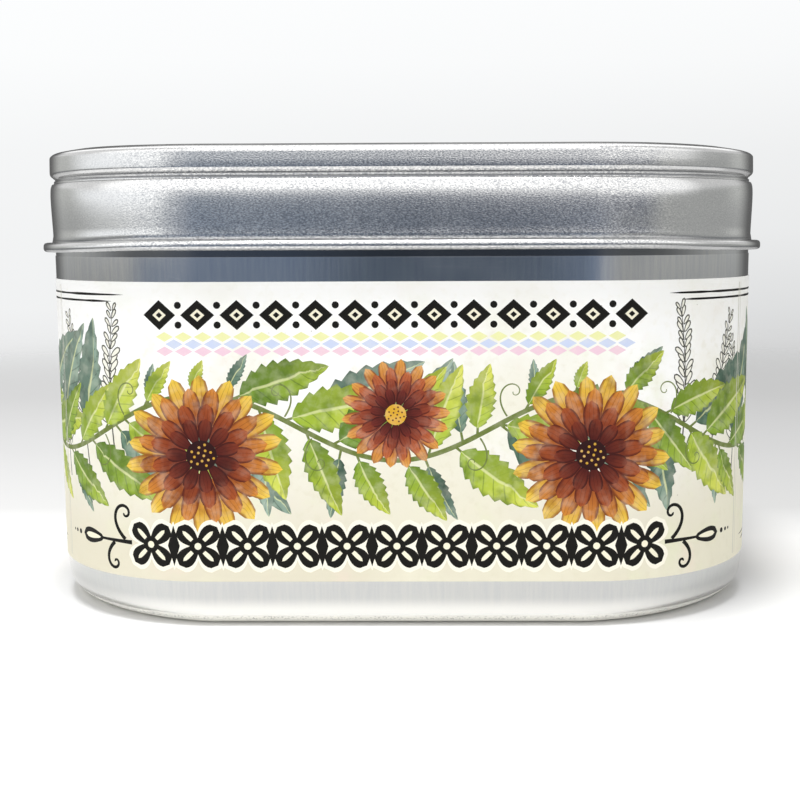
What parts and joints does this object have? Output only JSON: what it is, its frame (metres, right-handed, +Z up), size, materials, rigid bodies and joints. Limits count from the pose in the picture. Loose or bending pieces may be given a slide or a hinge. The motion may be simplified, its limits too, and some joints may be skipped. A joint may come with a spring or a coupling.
{
  "type": "slip-lid tin with a paper label",
  "caption": "Rounded-corner drawn tin with a slip-on lid, rolled curl and stop groove, wrapped in a printed paper label; holds dry goods.",
  "frame": {"origin": "middle of the flat underside, on the surface that the tin stands on", "axes": "+Z up out of the lid, +X along the wide front, -Y out of the front that the picture shows"},
  "size_m": [0.155, 0.115, 0.095],
  "materials": {
    "can_tinplate": "satin tinplate with upright drawing streaks",
    "lid_tinplate": "satin tinplate with a fine frosted grain along the skirt",
    "label_paper": "uncoated cream paper with a printed plant frieze"
  },
  "bodies": {
    "root": {"can": "can_tinplate", "lid": "lid_tinplate", "label": "label_paper"}
  },
  "joints": []
}
